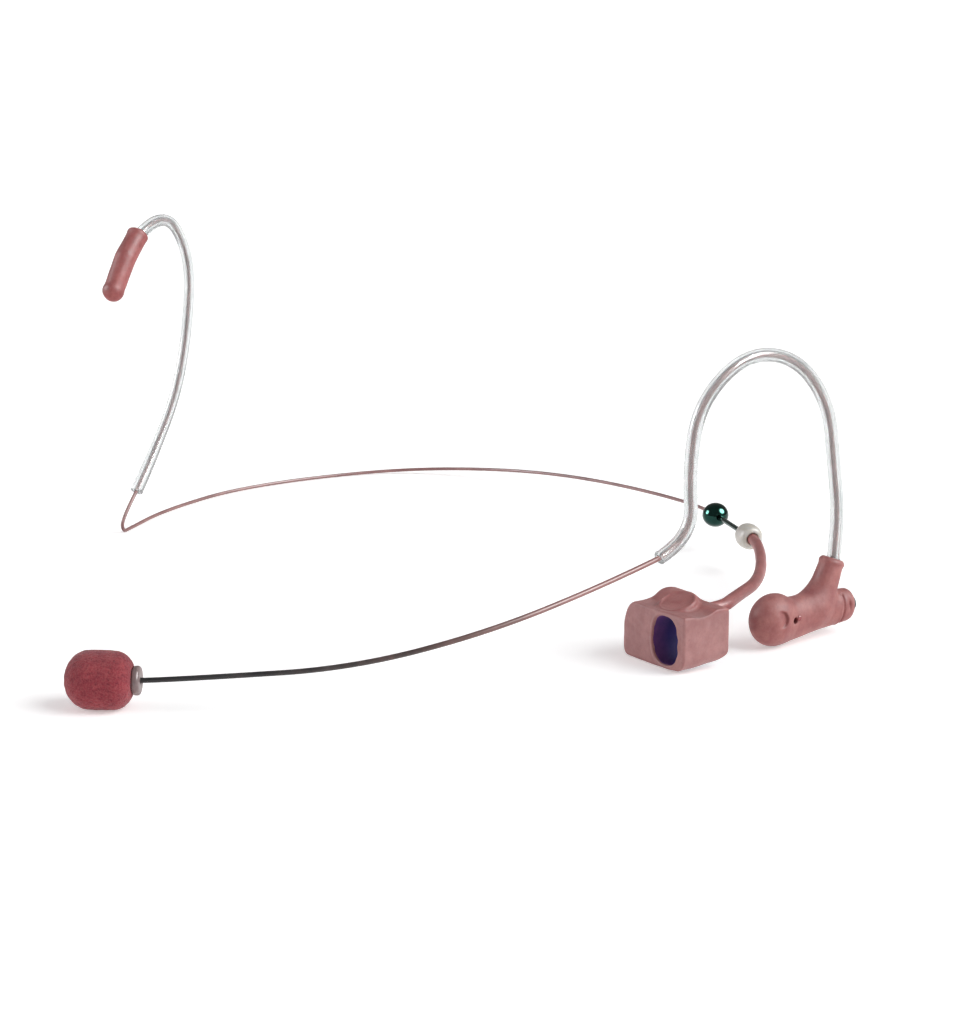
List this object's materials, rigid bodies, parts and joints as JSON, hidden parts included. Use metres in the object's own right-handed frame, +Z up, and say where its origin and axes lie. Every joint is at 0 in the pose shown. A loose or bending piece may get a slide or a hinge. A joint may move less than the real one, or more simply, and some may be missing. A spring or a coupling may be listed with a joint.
{
  "type": "headset microphone",
  "caption": "Two-ear headset microphone with clear ear hooks, a foam-covered capsule on a bendable boom and a spring band that clips on behind the ear.",
  "frame": {"origin": "middle of the footprint, on the surface it stands on", "axes": "+X to the wearer's left ear, +Y to the back of the head, +Z up"},
  "size_m": [0.1977, 0.1918, 0.0798],
  "materials": {
    "rose_rubber": "matt",
    "clear_tube": "gloss",
    "boom_coat": "satin",
    "band_coat": "satin",
    "foam": "open-cell foam",
    "milky_plastic": "translucent",
    "ivory_plastic": "satin",
    "navy_liner": "matt",
    "green_gloss": "polished",
    "steel": "plain",
    "brass": "plain",
    "circuit_board": "solder mask",
    "black_rubber": "matt"
  },
  "bodies": {
    "mic_unit": {"junction_moulding": "rose_rubber", "cable_gland": "black_rubber", "splice_board": "circuit_board", "wire_crimp": "brass", "ear_tube_near": "clear_tube", "ear_wire_near": "boom_coat"},
    "boom": {"boom_wire": "boom_coat", "windscreen_collar": "milky_plastic", "capsule_housing": "steel", "capsule_seal": "black_rubber", "capsule_board": "circuit_board", "electret_capsule": "steel", "capsule_grille": "steel"},
    "windscreen": {"foam_windscreen": "foam"},
    "clip": {"clip_block": "rose_rubber", "slot_liner": "navy_liner", "tube_anchor": "brass", "band_tube": "rose_rubber", "band_collar": "ivory_plastic", "slide_bushing": "brass"},
    "slider": {"slide_rod": "green_gloss"},
    "band": {"slide_ball": "green_gloss", "band_wire": "band_coat", "ear_tube_far": "clear_tube", "end_cap_far": "rose_rubber", "wire_tip_crimp": "brass"}
  },
  "joints": [
    {"name": "boom_bend", "type": "hinge", "parent": "mic_unit", "child": "boom", "pos_m": [0.09305, 0.0167, 0.0246], "axis": [1, 0, 0], "range_deg": [-25, 0]},
    {"name": "windscreen_pull", "type": "slide", "parent": "boom", "child": "windscreen", "axis": [-0.6198, -0.7848, 0], "range_m": [0, 0.012]},
    {"name": "band_dock", "type": "slide", "parent": "mic_unit", "child": "clip", "axis": [0, 1, 0], "range_m": [0, 0.0245]},
    {"name": "band_length", "type": "slide", "parent": "clip", "child": "slider", "axis": [-0.9444, 0.3289, 0], "range_m": [-0.0025, 0.0025]},
    {"name": "band_swivel", "type": "hinge", "parent": "slider", "child": "band", "pos_m": [0.02461, 0.09032, 0.0092], "axis": [-0.9444, 0.3289, 0], "range_deg": [0, 20]}
  ]
}
